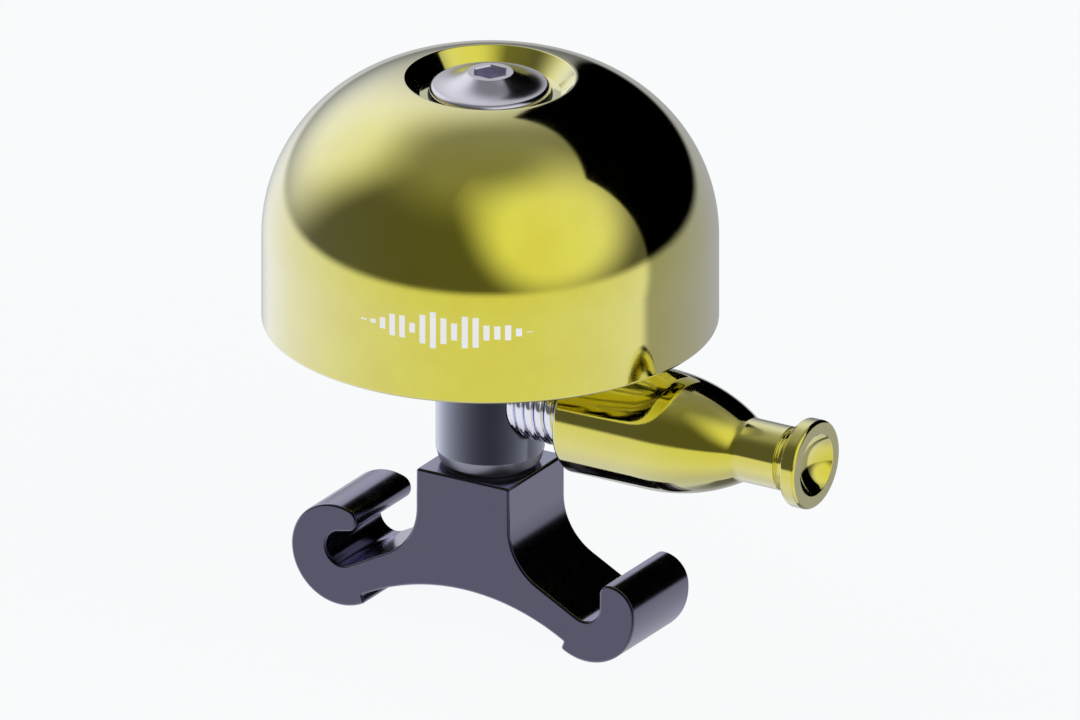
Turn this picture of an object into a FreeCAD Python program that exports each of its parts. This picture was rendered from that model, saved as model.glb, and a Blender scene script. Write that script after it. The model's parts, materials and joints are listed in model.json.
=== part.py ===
"""Bicycle bell: a brass dome on a post, a saddle bracket for the handlebar, and a striker on a
spring. Millimetres, +Z up. The origin is the top of the bracket's saddle arch, where the
handlebar's crown lies. X runs across the handlebar, towards the striker, and Y runs along it."""

import FreeCAD, Part

import math
import os

import Sketcher
from FreeCAD import Rotation, Vector

# Driving dimensions, by group. Heights are above the origin, and "x" places are from the post's axis.
SIZES = {
    # bell dome
    "dome_radius": 19.0,
    "dome_wall": 1.6,
    "rim_height": 22.95,
    "rim_round": 0.3,
    "band_top": 30.4,
    "crown_radius": 14.3,
    "recess_mouth": 7.1,
    "recess_floor": 5.9,
    "recess_height": 43.0,
    "dome_hole": 3.1,
    # dome fastening: cap screw, its washer and the nylon bush
    "fit_gap": 0.05,
    "thread_radius": 2.0,
    "cap_radius": 5.07,
    "cap_edge": 0.82,
    "cap_hub": 1.95,
    "cap_height": 1.88,
    "cap_dish": 5.0,
    "cap_screw_reach": 10.0,
    "cap_washer_radius": 5.2,
    "cap_washer_thickness": 0.12,
    "bush_flange": 4.2,
    "bush_flange_thickness": 0.8,
    "key_size": 2.5,
    "cap_key_depth": 1.9,
    # post
    "post_radius": 4.54,
    "post_bottom": 10.46,
    "post_chamfer_width": 0.32,
    "post_chamfer_height": 1.0,
    "top_thread_depth": 8.6,
    "bottom_thread_depth": 3.95,
    "seat_washer_radius": 3.7,
    # bracket
    "bracket_depth": 9.0,
    "bracket_edge": 0.2,
    "neck_half_width": 4.5,
    "neck_top": 10.0,
    "neck_fillet": 5.18,
    "neck_fillet_height": 6.44,
    "slot_x": 11.75,
    "slot_height": 1.2,
    "slot_radius": 1.5,
    "hook_x": 11.95,
    "hook_height": 0.75,
    "hook_radius": 4.65,
    "tall_hook_radius": 4.25,
    "tall_nose_x": 11.3,
    "tall_nose_radius": 1.0,
    "low_tip_top": 3.38,
    "low_nose_radius": 0.95,
    "saddle_radius": 20.0,
    "saddle_end_x": 9.75,
    "foot_x": 9.5,
    "counterbore_radius": 3.75,
    "counterbore_depth": 3.2,
    "screw_clearance": 2.15,
    # base screw and washers
    "base_head_radius": 3.5,
    "base_head_height": 1.9,
    "base_screw_reach": 12.0,
    "base_key_depth": 1.2,
    "flat_washer_thickness": 0.5,
    "lock_washer_thickness": 0.7,
    "lock_washer_gap": 0.8,
    # striker spring and the two studs it is wound onto
    "striker_height": 16.42,
    "wire_radius": 0.45,
    "coil_radius": 2.86,
    "coil_pitch": 0.98,
    "coil_turns": 8.75,
    "spring_start": 2.8,
    "spring_bore": 3.37,
    "post_bore_floor": 2.3,
    "stud_radius": 2.36,
    "stud_shank": 1.5,
    "anchor_reach": 2.0,
    "anchor_shank": 4.8,
    "striker_stud_reach": 2.7,
    "striker_stud_shank": 4.6,
    # striker body
    "striker_back": 8.88,
    "striker_radius": 5.13,
    "striker_edge": 0.48,
    "striker_bore_floor": 11.9,
    "shoulder_start": 16.4,
    "shoulder_radius": 16.5,
    "neck_start": 25.0,
    "striker_neck": 2.72,
    "groove_start": 29.0,
    "groove_radius": 2.28,
    "flange_back": 30.16,
    "flange_front": 31.63,
    "flange_radius": 3.8,
    "flange_round": 0.3,
    "dish_radius": 2.65,
    "dish_depth": 1.5,
}

doc = FreeCAD.newDocument("bicycle_bell")
sheet = doc.addObject("Spreadsheet::Sheet", "sizes")
for row, (alias, number) in enumerate(SIZES.items(), start=1):
    sheet.set(f"A{row}", alias)
    sheet.set(f"B{row}", str(number))
    sheet.setAlias(f"B{row}", alias)
doc.recompute()

nodes = []


# ---------------------------------------------------------------- helpers


def value(formula):
    """The present number of a formula over the sheet's cells."""
    return float(sheet.evalExpression(str(formula)))


def new_body(name):
    """A body that is one sub-part."""
    body = doc.addObject("PartDesign::Body", name)
    nodes.append(body)
    return body


def attached_sketch(body, role, name, lift=None):
    """An empty sketch on one of the body's origin planes, raised along its normal by a formula."""
    plane = next(f for f in body.Origin.OriginFeatures if f.Role == role)
    sketch = body.newObject("Sketcher::SketchObject", name)
    sketch.AttachmentSupport = (plane, [""])
    sketch.MapMode = "FlatFace"
    if lift is not None:
        sketch.setExpression("AttachmentOffset.Base.z", lift)
    return sketch


def arc_between(start, end, radius, turn):
    """The short arc from start to end, with its centre on the left of the way if turn is 1."""
    chord = end - start
    left = Vector(-chord.y, chord.x, 0).normalize()
    rise = math.sqrt(max(radius**2 - chord.Length**2 / 4, 0.0))
    centre = (start + end) * 0.5 + left * (turn * rise)
    ends = [math.atan2(p.y - centre.y, p.x - centre.x) for p in (start, end)]
    first, last = ends if turn > 0 else reversed(ends)
    if last < first:
        last += 2 * math.pi
    return Part.ArcOfCircle(Part.Circle(centre, Vector(0, 0, 1), radius), first, last)


def draw_outline(sketch, steps):
    """Draws a closed outline. Each step is (across, up), a straight edge to the next point, or
    (across, up, radius, turn), an arc to it: turn is 1 if its centre is on the left of the way,
    else -1. Points and radii are formulas over the sheet, and the sketch is bound to them."""
    points = [Vector(value(step[0]), value(step[1]), 0) for step in steps]
    clockwise = [len(step) == 4 and step[3] < 0 for step in steps]
    for edge, step in enumerate(steps):
        end = points[(edge + 1) % len(points)]
        if len(step) == 2:
            sketch.addGeometry(Part.LineSegment(points[edge], end), False)
        else:
            sketch.addGeometry(arc_between(points[edge], end, value(step[2]), step[3]), False)
    for edge, step in enumerate(steps):
        start = 2 if clockwise[edge] else 1
        before = (edge - 1) % len(steps)
        before_end = 1 if clockwise[before] else 2
        sketch.addConstraint(Sketcher.Constraint("Coincident", before, before_end, edge, start))
        for formula, kind, axis in ((step[0], "DistanceX", -2), (step[1], "DistanceY", -1)):
            bind_distance(sketch, edge, start, formula, kind, axis)
        if len(step) == 4:
            index = sketch.addConstraint(Sketcher.Constraint("Radius", edge, value(step[2])))
            sketch.setExpression(f"Constraints[{index}]", str(step[2]))


def bind_distance(sketch, edge, point, formula, kind, axis):
    """Binds one coordinate of an edge's point to a formula, or to the axis where it is zero."""
    if abs(value(formula)) < 1e-9:
        sketch.addConstraint(Sketcher.Constraint("PointOnObject", edge, point, axis))
        return
    index = sketch.addConstraint(Sketcher.Constraint(kind, -1, 1, edge, point, value(formula)))
    sketch.setExpression(f"Constraints[{index}]", str(formula))


def draw_circle(sketch, radius, up):
    """Draws a circle on the sketch's upright axis, its radius and its height being formulas."""
    circle = Part.Circle(Vector(0, value(up), 0), Vector(0, 0, 1), value(radius))
    sketch.addGeometry(circle, False)
    sketch.addConstraint(Sketcher.Constraint("PointOnObject", 0, 3, -2))
    bind_distance(sketch, 0, 3, up, "DistanceY", -1)
    index = sketch.addConstraint(Sketcher.Constraint("Radius", 0, value(radius)))
    sketch.setExpression(f"Constraints[{index}]", radius)


def turn_outline(body, steps):
    """Turns an outline, drawn in the XZ plane, about the body's Z axis."""
    sketch = attached_sketch(body, "XZ_Plane", f"{body.Name}_outline")
    draw_outline(sketch, steps)
    solid = body.newObject("PartDesign::Revolution", f"{body.Name}_turned")
    solid.Profile = sketch
    solid.ReferenceAxis = (sketch, ["V_Axis"])
    solid.Angle = 360
    doc.recompute()
    return solid


def cut_pocket(body, sketch, depth, upwards):
    """Cuts a sketch into the body by a formula's depth, and makes sure that it removed metal."""
    before = body.Shape.Volume
    pocket = body.newObject("PartDesign::Pocket", f"{sketch.Name}_cut")
    pocket.Profile = sketch
    pocket.setExpression("Length", depth)
    pocket.Reversed = upwards
    doc.recompute()
    if body.Shape.Volume >= before - 1e-6:
        raise RuntimeError(f"{pocket.Name} cut nothing")


def cut_key_socket(body, height, depth, upwards):
    """Cuts the hexagonal socket for the key: downwards from a height, or upwards from it."""
    sketch = attached_sketch(body, "XY_Plane", f"{body.Name}_socket", height)
    corner = "(sizes.key_size / sqrt(3))"
    steps = [(f"{corner} * cos({a})", f"{corner} * sin({a})") for a in range(0, 360, 60)]
    draw_outline(sketch, steps)
    cut_pocket(body, sketch, depth, upwards)


def make_ring(name, outer, inner, thickness, height):
    """A flat washer about the Z axis: a disc less its hole, each bound to the sheet."""
    tools = []
    for role, radius in (("disc", outer), ("hole", inner)):
        tool = doc.addObject("Part::Cylinder", f"{name}_{role}")
        tool.setExpression("Radius", radius)
        tool.setExpression("Height", thickness)
        tools.append(tool)
    ring = doc.addObject("Part::Cut", name)
    ring.Base, ring.Tool = tools
    ring.setExpression("Placement.Base.z", height)
    return ring


def lay_along_x(part):
    """Lays a sub-part made about Z along X, at the striker's height."""
    part.Placement.Rotation = Rotation(Vector(0, 1, 0), 90)
    part.setExpression("Placement.Base.z", "sizes.striker_height")


# ---------------------------------------------------------------- bell dome


def make_bell_dome():
    """A turned brass bell: straight band, one crown arc, and a dished recess for the cap screw."""
    crown_x = "(sizes.dome_radius - sizes.crown_radius)"
    inner_crown = "(sizes.crown_radius - sizes.dome_wall)"
    recess_under = "(sizes.recess_height - sizes.dome_wall)"
    dimple_x = "(sizes.recess_mouth + sizes.dome_wall * 0.8)"
    mouth_height = (
        f"sizes.band_top + sqrt(sizes.crown_radius^2 - (sizes.recess_mouth - {crown_x})^2)"
    )
    dimple_height = f"sizes.band_top + sqrt({inner_crown}^2 - ({dimple_x} - {crown_x})^2)"
    inner_radius = "sizes.dome_radius - sizes.dome_wall"
    rim = "sizes.rim_height"
    rim_round = "sizes.rim_round"
    body = new_body("bell_dome")
    turn_outline(
        body,
        [
            (f"{inner_radius} + {rim_round}", rim),
            (f"sizes.dome_radius - {rim_round}", rim, rim_round, 1),
            ("sizes.dome_radius", f"{rim} + {rim_round}"),
            ("sizes.dome_radius", "sizes.band_top", "sizes.crown_radius", 1),
            ("sizes.recess_mouth", mouth_height),
            ("sizes.recess_floor", "sizes.recess_height"),
            ("sizes.dome_hole", "sizes.recess_height"),
            ("sizes.dome_hole", recess_under),
            ("sizes.recess_mouth", recess_under),
            (dimple_x, dimple_height, inner_crown, -1),
            (inner_radius, "sizes.band_top"),
            (inner_radius, f"{rim} + {rim_round}", rim_round, 1),
        ],
    )


def make_cap_screw():
    """A stainless screw: wide waisted cap with a rounded edge, hexagonal socket and shank."""
    under = "(sizes.recess_height + sizes.cap_washer_thickness)"
    top = f"({under} + sizes.cap_height)"
    half_edge = "(sizes.cap_edge / 2)"
    shank = "(sizes.thread_radius - sizes.fit_gap)"
    body = new_body("cap_screw")
    turn_outline(
        body,
        [
            ("0", f"{under} - sizes.cap_screw_reach"),
            (shank, f"{under} - sizes.cap_screw_reach"),
            (shank, under),
            (f"sizes.cap_radius - {half_edge}", under, half_edge, 1),
            ("sizes.cap_radius", f"{under} + {half_edge}", half_edge, 1),
            (f"sizes.cap_radius - {half_edge}", f"{under} + sizes.cap_edge", "sizes.cap_dish", -1),
            ("sizes.cap_hub", top),
            ("0", top),
        ],
    )
    cut_key_socket(body, top, "sizes.cap_key_depth", False)


def make_dome_bush():
    """A nylon top-hat bush that keeps the dome's hole off the screw and off the post."""
    flange_top = "(sizes.recess_height - sizes.dome_wall)"
    flange_bottom = f"({flange_top} - sizes.bush_flange_thickness)"
    sleeve = "sizes.dome_hole - sizes.fit_gap"
    bore = "sizes.thread_radius + sizes.fit_gap"
    turn_outline(
        new_body("dome_bush"),
        [
            (bore, flange_bottom),
            ("sizes.bush_flange", flange_bottom),
            ("sizes.bush_flange", flange_top),
            (sleeve, flange_top),
            (sleeve, "sizes.recess_height"),
            (bore, "sizes.recess_height"),
        ],
    )


# ---------------------------------------------------------------- post


def make_post():
    """A turned post with a threaded hole at each end and a side bore that holds the spring."""
    top = "(sizes.recess_height - sizes.dome_wall - sizes.bush_flange_thickness)"
    bottom = "sizes.post_bottom"
    thread = "sizes.thread_radius"
    top_floor = f"{top} - sizes.top_thread_depth"
    bottom_floor = f"{bottom} + sizes.bottom_thread_depth"
    body = new_body("post")
    turn_outline(
        body,
        [
            (thread, bottom),
            ("sizes.post_radius - sizes.post_chamfer_width", bottom),
            ("sizes.post_radius", f"{bottom} + sizes.post_chamfer_height"),
            ("sizes.post_radius", top),
            (thread, top),
            (thread, top_floor),
            ("0", top_floor),
            ("0", bottom_floor),
            (thread, bottom_floor),
        ],
    )
    for name, radius, depth, outwards in (
        ("spring_bore", "sizes.spring_bore", "sizes.post_radius", True),
        ("anchor_hole", "sizes.stud_shank + sizes.fit_gap", "sizes.anchor_shank", False),
    ):
        sketch = attached_sketch(body, "YZ_Plane", name, "sizes.post_bore_floor")
        draw_circle(sketch, radius, "sizes.striker_height")
        cut_pocket(body, sketch, depth, outwards)


# ---------------------------------------------------------------- bracket and its screw


def direction_between(start_x, start_z, end_x, end_z):
    """The formulas of the unit direction from one centre to another."""
    across = f"(({end_x}) - ({start_x}))"
    up = f"(({end_z}) - ({start_z}))"
    length = f"sqrt({across}^2 + {up}^2)"
    return f"({across} / {length})", f"({up} / {length})"


def arm_outline(side):
    """The outline's tangent points on one arm: neck fillet, then the strap slot. The arm's top
    face is the line that touches both circles from below, side being 1 on the right, -1 left."""
    fillet_x = "(sizes.neck_half_width + sizes.neck_fillet)"
    across, up = direction_between(
        fillet_x, "sizes.neck_fillet_height", "sizes.slot_x", "sizes.slot_height"
    )
    reach = f"sqrt((sizes.slot_x - {fillet_x})^2 + (sizes.slot_height - sizes.neck_fillet_height)^2)"
    swing = f"((sizes.neck_fillet - sizes.slot_radius) / {reach})"
    cosine = f"sqrt(1 - {swing}^2)"
    normal_x = f"({across} * {swing} + {up} * {cosine})"
    normal_z = f"({up} * {swing} - {across} * {cosine})"
    fillet_end = (
        f"{side} * ({fillet_x} + sizes.neck_fillet * {normal_x})",
        f"sizes.neck_fillet_height + sizes.neck_fillet * {normal_z}",
    )
    slot_start = (
        f"{side} * (sizes.slot_x + sizes.slot_radius * {normal_x})",
        f"sizes.slot_height + sizes.slot_radius * {normal_z}",
    )
    return fillet_end, slot_start


def make_bracket():
    """An extruded saddle bracket: a square neck, two arms and two hooks for a strap. The left hook
    curls right over its slot and the right one is open, so the strap is slipped off there."""
    neck = "sizes.neck_half_width"
    foot_height = "(sizes.hook_height - sqrt(sizes.hook_radius^2 - (sizes.foot_x - sizes.hook_x)^2))"
    saddle_end_height = (
        "(sqrt(sizes.saddle_radius^2 - sizes.saddle_end_x^2) - sizes.saddle_radius)"
    )
    right_fillet, right_slot = arm_outline(1)
    left_fillet, left_slot = arm_outline(-1)
    hook = "sizes.hook_radius"
    outer_x = f"(sizes.hook_x + {hook})"

    low_wall = "(sizes.slot_x + sizes.slot_radius)"
    low_nose_top = f"({low_wall} + sizes.low_nose_radius)"
    low_run = f"({low_nose_top} - sizes.hook_x)"
    low_rise = "(sizes.low_tip_top - sizes.hook_height)"
    low_crown = f"(({low_run}^2 + {low_rise}^2 - {hook}^2) / (2 * ({low_rise} - {hook})))"
    low_across, low_up = direction_between(
        "sizes.hook_x", "sizes.hook_height", low_nose_top, f"sizes.low_tip_top - {low_crown}"
    )
    low_outer = (
        f"sizes.hook_x + {hook} * {low_across}",
        f"sizes.hook_height + {hook} * {low_up}",
    )

    tall = "sizes.tall_hook_radius"
    tall_x = f"({outer_x} - {tall})"
    nose = "sizes.tall_nose_radius"
    nose_x = "sizes.tall_nose_x"
    nose_height = (
        f"(sizes.hook_height + sqrt(({tall} - {nose})^2 - ({tall_x} - {nose_x})^2))"
    )
    tall_across, tall_up = direction_between(
        tall_x, "sizes.hook_height", nose_x, nose_height
    )
    tall_outer = (
        f"-({tall_x} + {tall} * {tall_across})",
        f"sizes.hook_height + {tall} * {tall_up}",
    )
    slot_top = "sizes.slot_height + sizes.slot_radius"

    body = new_body("bracket")
    sketch = attached_sketch(body, "XZ_Plane", "bracket_outline")
    draw_outline(
        sketch,
        [
            (neck, "sizes.neck_top"),
            (neck, "sizes.neck_fillet_height", "sizes.neck_fillet", 1),
            right_fillet,
            (*right_slot, "sizes.slot_radius", 1),
            (low_wall, "sizes.slot_height"),
            (low_wall, "sizes.low_tip_top - sizes.low_nose_radius", "sizes.low_nose_radius", -1),
            (low_nose_top, "sizes.low_tip_top", low_crown, -1),
            (*low_outer, hook, -1),
            (outer_x, "sizes.hook_height", hook, -1),
            ("sizes.hook_x", f"sizes.hook_height - {hook}", hook, -1),
            ("sizes.foot_x", foot_height),
            ("sizes.saddle_end_x", saddle_end_height, "sizes.saddle_radius", 1),
            ("-sizes.saddle_end_x", saddle_end_height),
            ("-sizes.foot_x", foot_height, hook, -1),
            ("-sizes.hook_x", f"sizes.hook_height - {hook}", hook, -1),
            (f"-{outer_x}", "sizes.hook_height", tall, -1),
            (*tall_outer, nose, -1),
            (f"-{nose_x}", f"{nose_height} - {nose}"),
            ("-sizes.slot_x", slot_top, "sizes.slot_radius", 1),
            ("-sizes.slot_x - sizes.slot_radius", "sizes.slot_height", "sizes.slot_radius", 1),
            left_slot,
            (*left_fillet, "sizes.neck_fillet", 1),
            (f"-{neck}", "sizes.neck_fillet_height"),
            (f"-{neck}", "sizes.neck_top"),
        ],
    )
    pad = body.newObject("PartDesign::Pad", "bracket_pad")
    pad.Profile = sketch
    pad.Midplane = True
    pad.setExpression("Length", "sizes.bracket_depth")
    doc.recompute()
    face_y = value("sizes.bracket_depth") / 2
    rims = [
        f"Edge{number}"
        for number, edge in enumerate(pad.Shape.Edges, start=1)
        if all(abs(abs(vertex.Y) - face_y) < 1e-4 for vertex in edge.Vertexes)
    ]
    chamfer = body.newObject("PartDesign::Chamfer", "bracket_chamfer")
    chamfer.Base = (pad, rims)
    chamfer.setExpression("Size", "sizes.bracket_edge")
    doc.recompute()
    for name, radius, depth in (
        ("screw_hole", "sizes.screw_clearance", "sizes.neck_top + 2"),
        ("counterbore", "sizes.counterbore_radius", "sizes.counterbore_depth + 1"),
    ):
        sketch = attached_sketch(body, "XY_Plane", name, "-1")
        draw_circle(sketch, radius, "0")
        cut_pocket(body, sketch, depth, True)


def make_base_screw():
    """The low-headed screw that comes up through the bracket into the post."""
    seat = (
        "(sizes.counterbore_depth - sizes.flat_washer_thickness - sizes.lock_washer_thickness)"
    )
    head_bottom = f"({seat} - sizes.base_head_height)"
    shank = "(sizes.thread_radius - sizes.fit_gap)"
    body = new_body("base_screw")
    turn_outline(
        body,
        [
            ("0", head_bottom),
            ("sizes.base_head_radius", head_bottom),
            ("sizes.base_head_radius", seat),
            (shank, seat),
            (shank, f"{seat} + sizes.base_screw_reach"),
            ("0", f"{seat} + sizes.base_screw_reach"),
        ],
    )
    cut_key_socket(body, head_bottom, "sizes.base_key_depth", True)


def make_lock_washer():
    """A split spring washer: a ring with a slit across one side."""
    height = (
        "sizes.counterbore_depth - sizes.flat_washer_thickness - sizes.lock_washer_thickness"
    )
    ring = make_ring(
        "lock_washer_ring",
        "sizes.base_head_radius - 0.2",
        "sizes.screw_clearance",
        "sizes.lock_washer_thickness",
        height,
    )
    slit = doc.addObject("Part::Box", "lock_washer_slit")
    slit.setExpression("Length", "sizes.base_head_radius")
    slit.setExpression("Width", "sizes.lock_washer_gap")
    slit.setExpression("Height", "sizes.lock_washer_thickness")
    slit.setExpression("Placement.Base.y", "-sizes.lock_washer_gap / 2")
    slit.setExpression("Placement.Base.z", height)
    washer = doc.addObject("Part::Cut", "base_lock_washer")
    washer.Base = ring
    washer.Tool = slit
    nodes.append(washer)


# ---------------------------------------------------------------- striker


def make_stud(name, shoulder, spigot_reach, shank_reach, towards_tip):
    """A threaded stud whose wide spigot fills the spring's end coils. The spigot stands on the
    shoulder's place along X, towards the tip or back from it, and the shank runs the other way."""
    way = 1 if towards_tip else -1
    spigot_end = f"{shoulder} + {way} * {spigot_reach}"
    shank_end = f"{shoulder} - {way} * ({shank_reach} - 4 * sizes.fit_gap)"
    body = new_body(name)
    outline = [
        ("0", shank_end),
        ("sizes.stud_shank", shank_end),
        ("sizes.stud_shank", shoulder),
        ("sizes.stud_radius", shoulder),
        ("sizes.stud_radius", spigot_end),
        ("0", spigot_end),
    ]
    turn_outline(body, outline)
    lay_along_x(body)


def make_striker_spring():
    """A close-wound spring, from the post's side bore into the striker's back."""
    helix = doc.addObject("Part::Helix", "spring_line")
    helix.setExpression("Pitch", "sizes.coil_pitch")
    helix.setExpression("Height", "sizes.coil_pitch * sizes.coil_turns")
    helix.setExpression("Radius", "sizes.coil_radius")
    wire = doc.addObject("Part::Circle", "spring_wire")
    wire.setExpression("Radius", "sizes.wire_radius")
    wire.setExpression("Placement.Base.x", "sizes.coil_radius")
    wire.Placement.Rotation = Rotation(Vector(1, 0, 0), 90)
    doc.recompute()
    spring = doc.addObject("Part::Sweep", "striker_spring")
    spring.Sections = [wire]
    spring.Spine = (helix, [f"Edge{n}" for n in range(1, len(helix.Shape.Edges) + 1)])
    spring.Solid = True
    spring.Frenet = True
    lay_along_x(spring)
    spring.setExpression("Placement.Base.x", "sizes.spring_start")
    nodes.append(spring)


def make_striker_body():
    """The bottle-shaped brass striker: barrel, shoulder, neck, groove and a dished end flange."""
    barrel = "sizes.striker_radius"
    back = "sizes.striker_back"
    edge = "sizes.striker_edge"
    flange = "sizes.flange_radius"
    flange_round = "sizes.flange_round"
    front = "sizes.flange_front"
    dish_curve = "(sizes.dish_radius^2 + sizes.dish_depth^2) / (2 * sizes.dish_depth)"
    thread = "(sizes.stud_shank + sizes.fit_gap)"
    thread_end = "(sizes.striker_bore_floor + sizes.striker_stud_shank)"
    body = new_body("striker_body")
    turn_outline(
        body,
        [
            ("sizes.spring_bore", back),
            (f"{barrel} - {edge}", back, edge, 1),
            (barrel, f"{back} + {edge}"),
            (barrel, "sizes.shoulder_start", "sizes.shoulder_radius", 1),
            ("sizes.striker_neck", "sizes.neck_start"),
            ("sizes.striker_neck", "sizes.groove_start"),
            ("sizes.groove_radius", "sizes.groove_start"),
            ("sizes.groove_radius", "sizes.flange_back"),
            (f"{flange} - {flange_round}", "sizes.flange_back", flange_round, 1),
            (flange, f"sizes.flange_back + {flange_round}"),
            (flange, f"{front} - {flange_round}", flange_round, 1),
            (f"{flange} - {flange_round}", front),
            ("sizes.dish_radius", front, dish_curve, -1),
            ("0", f"{front} - sizes.dish_depth"),
            ("0", thread_end),
            (thread, thread_end),
            (thread, "sizes.striker_bore_floor"),
            ("sizes.spring_bore", "sizes.striker_bore_floor"),
        ],
    )
    lay_along_x(body)


# ---------------------------------------------------------------- the whole bell


def build_bell():
    """Makes every sub-part in its place."""
    make_bell_dome()
    make_cap_screw()
    nodes.append(
        make_ring(
            "cap_washer",
            "sizes.cap_washer_radius",
            "sizes.thread_radius + sizes.fit_gap",
            "sizes.cap_washer_thickness",
            "sizes.recess_height",
        )
    )
    make_dome_bush()
    make_post()
    nodes.append(
        make_ring(
            "post_seat_washer",
            "sizes.seat_washer_radius",
            "sizes.screw_clearance",
            "sizes.post_bottom - sizes.neck_top",
            "sizes.neck_top",
        )
    )
    make_bracket()
    make_base_screw()
    nodes.append(
        make_ring(
            "base_washer",
            "sizes.base_head_radius",
            "sizes.screw_clearance",
            "sizes.flat_washer_thickness",
            "sizes.counterbore_depth - sizes.flat_washer_thickness",
        )
    )
    make_lock_washer()
    make_stud(
        "spring_anchor",
        "sizes.post_bore_floor",
        "sizes.anchor_reach",
        "sizes.anchor_shank",
        True,
    )
    make_stud(
        "striker_stud",
        "sizes.striker_bore_floor",
        "sizes.striker_stud_reach",
        "sizes.striker_stud_shank",
        False,
    )
    make_striker_spring()
    make_striker_body()
    doc.recompute()


def check_objects():
    """Stops if any object failed, or any sub-part isn't one sound solid."""
    for thing in doc.Objects:
        if {"Invalid", "Error"} & set(thing.State):
            raise RuntimeError(f"{thing.Name}: {thing.State}")
    for part in nodes:
        shape = part.Shape
        if shape.isNull() or not shape.isValid() or len(shape.Solids) != 1:
            raise RuntimeError(f"{part.Name} isn't one valid solid")


def write_parts():
    """Writes each sub-part to its own file, named by its label."""
    os.makedirs("parts", exist_ok=True)
    for part in nodes:
        part.Label = part.Name
        part.Shape.exportStep(f"parts/{part.Label}.step")
        print(f"{part.Label}: {part.Shape.Volume:.1f} mm3")


build_bell()
check_objects()
write_parts()
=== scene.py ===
"""Looks of the bicycle bell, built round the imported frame. Lengths are in millimetres and in the
row frame: X towards the striker, Y along the handlebar, Z up, origin under the saddle's crown."""

import json
import math

import bmesh
import bpy
import numpy as np
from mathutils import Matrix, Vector


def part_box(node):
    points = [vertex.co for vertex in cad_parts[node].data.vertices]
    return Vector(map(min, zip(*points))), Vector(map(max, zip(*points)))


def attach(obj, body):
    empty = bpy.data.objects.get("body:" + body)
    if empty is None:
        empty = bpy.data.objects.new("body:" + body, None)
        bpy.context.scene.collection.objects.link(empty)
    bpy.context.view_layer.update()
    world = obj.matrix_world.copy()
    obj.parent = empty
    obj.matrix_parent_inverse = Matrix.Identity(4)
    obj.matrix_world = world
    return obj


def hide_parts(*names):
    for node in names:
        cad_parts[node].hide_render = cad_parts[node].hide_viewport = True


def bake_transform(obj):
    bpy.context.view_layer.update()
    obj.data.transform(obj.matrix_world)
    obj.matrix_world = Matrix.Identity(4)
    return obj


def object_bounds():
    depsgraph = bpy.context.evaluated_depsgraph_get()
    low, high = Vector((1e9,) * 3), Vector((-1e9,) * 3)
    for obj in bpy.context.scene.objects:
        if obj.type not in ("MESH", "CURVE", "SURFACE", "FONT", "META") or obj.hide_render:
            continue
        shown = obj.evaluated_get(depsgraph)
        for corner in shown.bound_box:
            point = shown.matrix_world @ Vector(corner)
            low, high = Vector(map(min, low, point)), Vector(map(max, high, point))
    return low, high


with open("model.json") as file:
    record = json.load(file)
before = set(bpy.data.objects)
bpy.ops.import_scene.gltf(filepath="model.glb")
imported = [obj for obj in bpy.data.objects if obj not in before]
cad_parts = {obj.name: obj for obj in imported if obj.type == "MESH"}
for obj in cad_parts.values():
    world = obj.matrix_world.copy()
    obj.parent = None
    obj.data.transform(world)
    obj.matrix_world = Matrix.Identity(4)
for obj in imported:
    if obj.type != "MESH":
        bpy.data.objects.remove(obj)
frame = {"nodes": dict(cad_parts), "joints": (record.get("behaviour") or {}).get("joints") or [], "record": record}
CAD_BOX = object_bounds()
MM = 0.001


def corners(node):
    """A CAD node's lowest and highest corners in millimetres, to the nearest micron."""
    return [[round(value / MM, 3) for value in corner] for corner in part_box(node)]


JOINTS = {joint["name"]: joint for joint in frame["joints"]}
MOUNTS = {mount["name"]: mount for mount in frame["record"]["mounts"]}
STRIKER_Z = round(JOINTS["striker_sweep"]["pos_m"][2] / MM, 3)
DOME_RADIUS = corners("bell_dome")[1][0]
POST_RADIUS = corners("post")[1][0]
POST_CHAMFER = 1.0
KEY_SIZE = 2.5
SCREW_SHANK = 1.95


# ---------------------------------------------------------------- outlines


def unit(v):
    """A plane vector made one long."""
    return v / max(float(np.hypot(*v)), 1e-12)


def parts_of(angle, step):
    """How many parts of at most step degrees an angle in radians is cut into, at least 3."""
    return max(3, math.ceil(abs(math.degrees(angle)) / step - 1e-6))


def arc_points(start, end, radius, turn, step):
    """The short arc from start to end, its centre on the left of the way if turn is 1."""
    chord = end - start
    half = float(np.hypot(*chord)) / 2
    left = unit(np.array([-chord[1], chord[0]]))
    centre = (start + end) / 2 + left * turn * math.sqrt(max(radius**2 - half**2, 0.0))
    first = math.atan2(*(start - centre)[::-1])
    sweep = 2 * math.asin(min(1.0, half / radius)) * turn
    count = parts_of(sweep, step)
    angles = first + sweep * np.arange(count + 1) / count
    return centre + radius * np.column_stack([np.cos(angles), np.sin(angles)])


def trimmed(points, distance):
    """An edge's points, less those nearer to its first point than the distance along its first
    direction, from a new first point that lies that far along."""
    way = unit(points[1] - points[0])
    keep = [p for p in points[1:] if np.hypot(*(p - points[0])) > distance * 1.02]
    return np.array([points[0] + way * distance] + keep)


def rounding(corner, before, after, soft):
    """The arc of radius soft that rounds the corner between two edges, and the length that it
    takes from each of them."""
    way_in, way_out = unit(before[-1] - before[-2]), unit(after[1] - after[0])
    cross = way_in[0] * way_out[1] - way_in[1] * way_out[0]
    turn = math.atan2(cross, float(way_in @ way_out))
    reach = soft * math.tan(abs(turn) / 2)
    first = corner - way_in * reach
    centre = first + np.array([-way_in[1], way_in[0]]) * math.copysign(soft, turn)
    count = parts_of(turn, 15)
    spins = turn * np.arange(count + 1) / count
    arm = first - centre
    across = arm[0] * np.cos(spins) - arm[1] * np.sin(spins)
    up = arm[0] * np.sin(spins) + arm[1] * np.cos(spins)
    return centre + np.column_stack([across, up]), reach


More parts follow.
